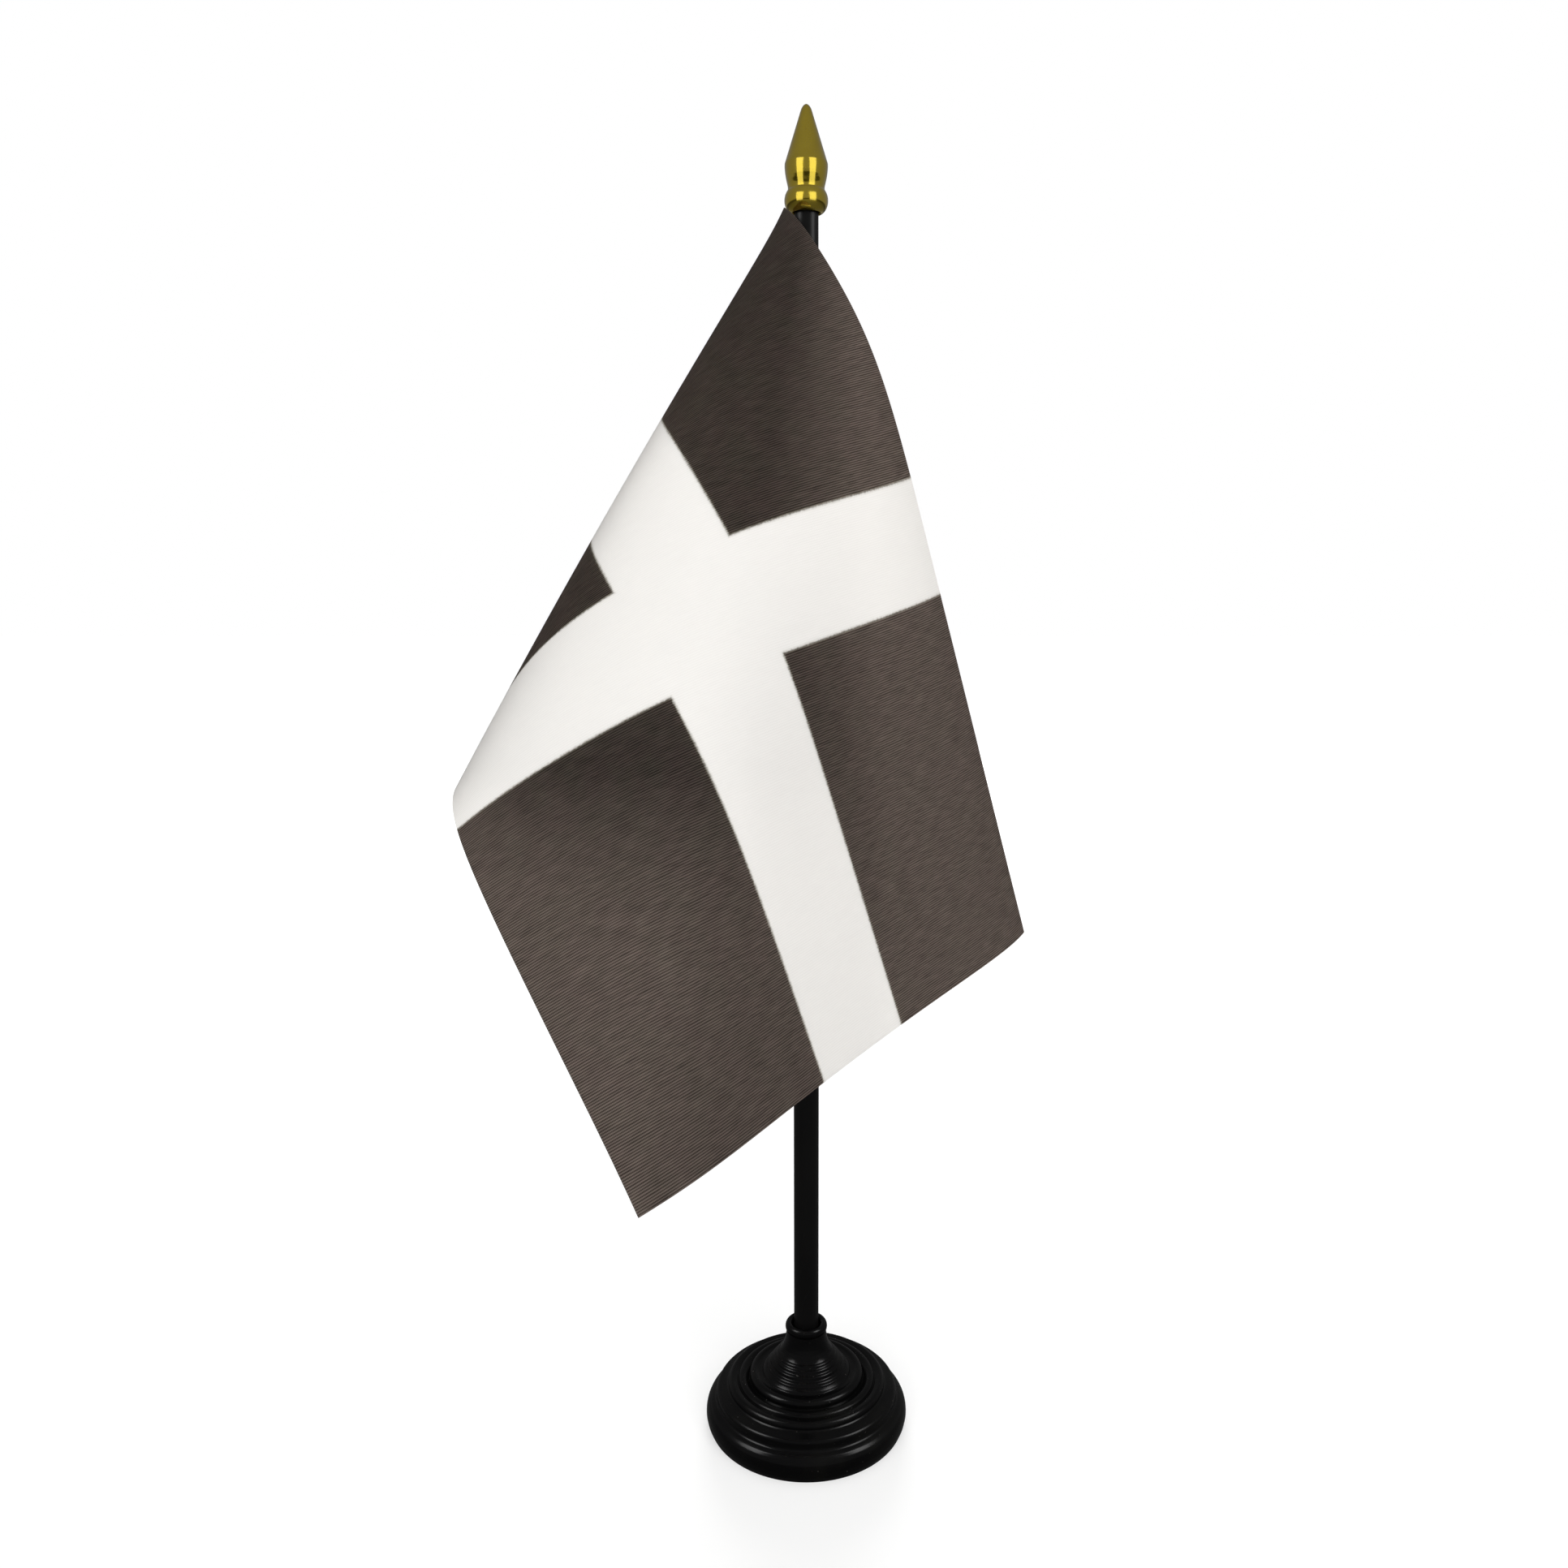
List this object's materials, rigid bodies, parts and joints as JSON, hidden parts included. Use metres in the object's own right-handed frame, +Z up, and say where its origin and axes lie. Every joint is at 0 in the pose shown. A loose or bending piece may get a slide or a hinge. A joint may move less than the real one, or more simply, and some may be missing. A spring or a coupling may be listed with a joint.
{
  "type": "desk flag stand",
  "caption": "Small printed cloth flag with a plain cross, hung by a sleeve on a tapered pole with a spear finial, standing in a turned-look moulded foot.",
  "frame": {"origin": "centre of the foot's underside, on the table", "axes": "+Z up the pole; -Y is the front, the side that the flag's free panel faces; +X to the right seen from the front"},
  "size_m": [0.0967, 0.116, 0.2684],
  "materials": {
    "base_plastic": "satin black injection moulding with turned-look rings",
    "pole_plastic": "smooth black extruded rod, satin gloss",
    "gold_plating": "bright olive-gold vacuum plating on moulded plastic",
    "printed_cloth": "thin ribbed polyester printed dark brown-grey with a plain white cross, heat-cut edges",
    "thread": "dark spun polyester sewing thread"
  },
  "bodies": {
    "stand": {"base": "base_plastic"},
    "pole": {"pole": "pole_plastic"},
    "finial": {"finial": "gold_plating"},
    "flag": {"flag_cloth": "printed_cloth", "flag_sleeve": "printed_cloth", "sleeve_thread": "thread"}
  },
  "joints": [
    {"name": "pole_lift", "type": "slide", "parent": "stand", "child": "pole", "axis": [0, 0, 1], "range_m": [0, 0.026]},
    {"name": "finial_lift", "type": "slide", "parent": "pole", "child": "finial", "axis": [0, 0, 1], "range_m": [0, 0.009]},
    {"name": "flag_turn", "type": "hinge", "parent": "pole", "child": "flag", "pos_m": [0, 0, 0.19], "axis": [0, 0, 1], "continuous": true}
  ]
}
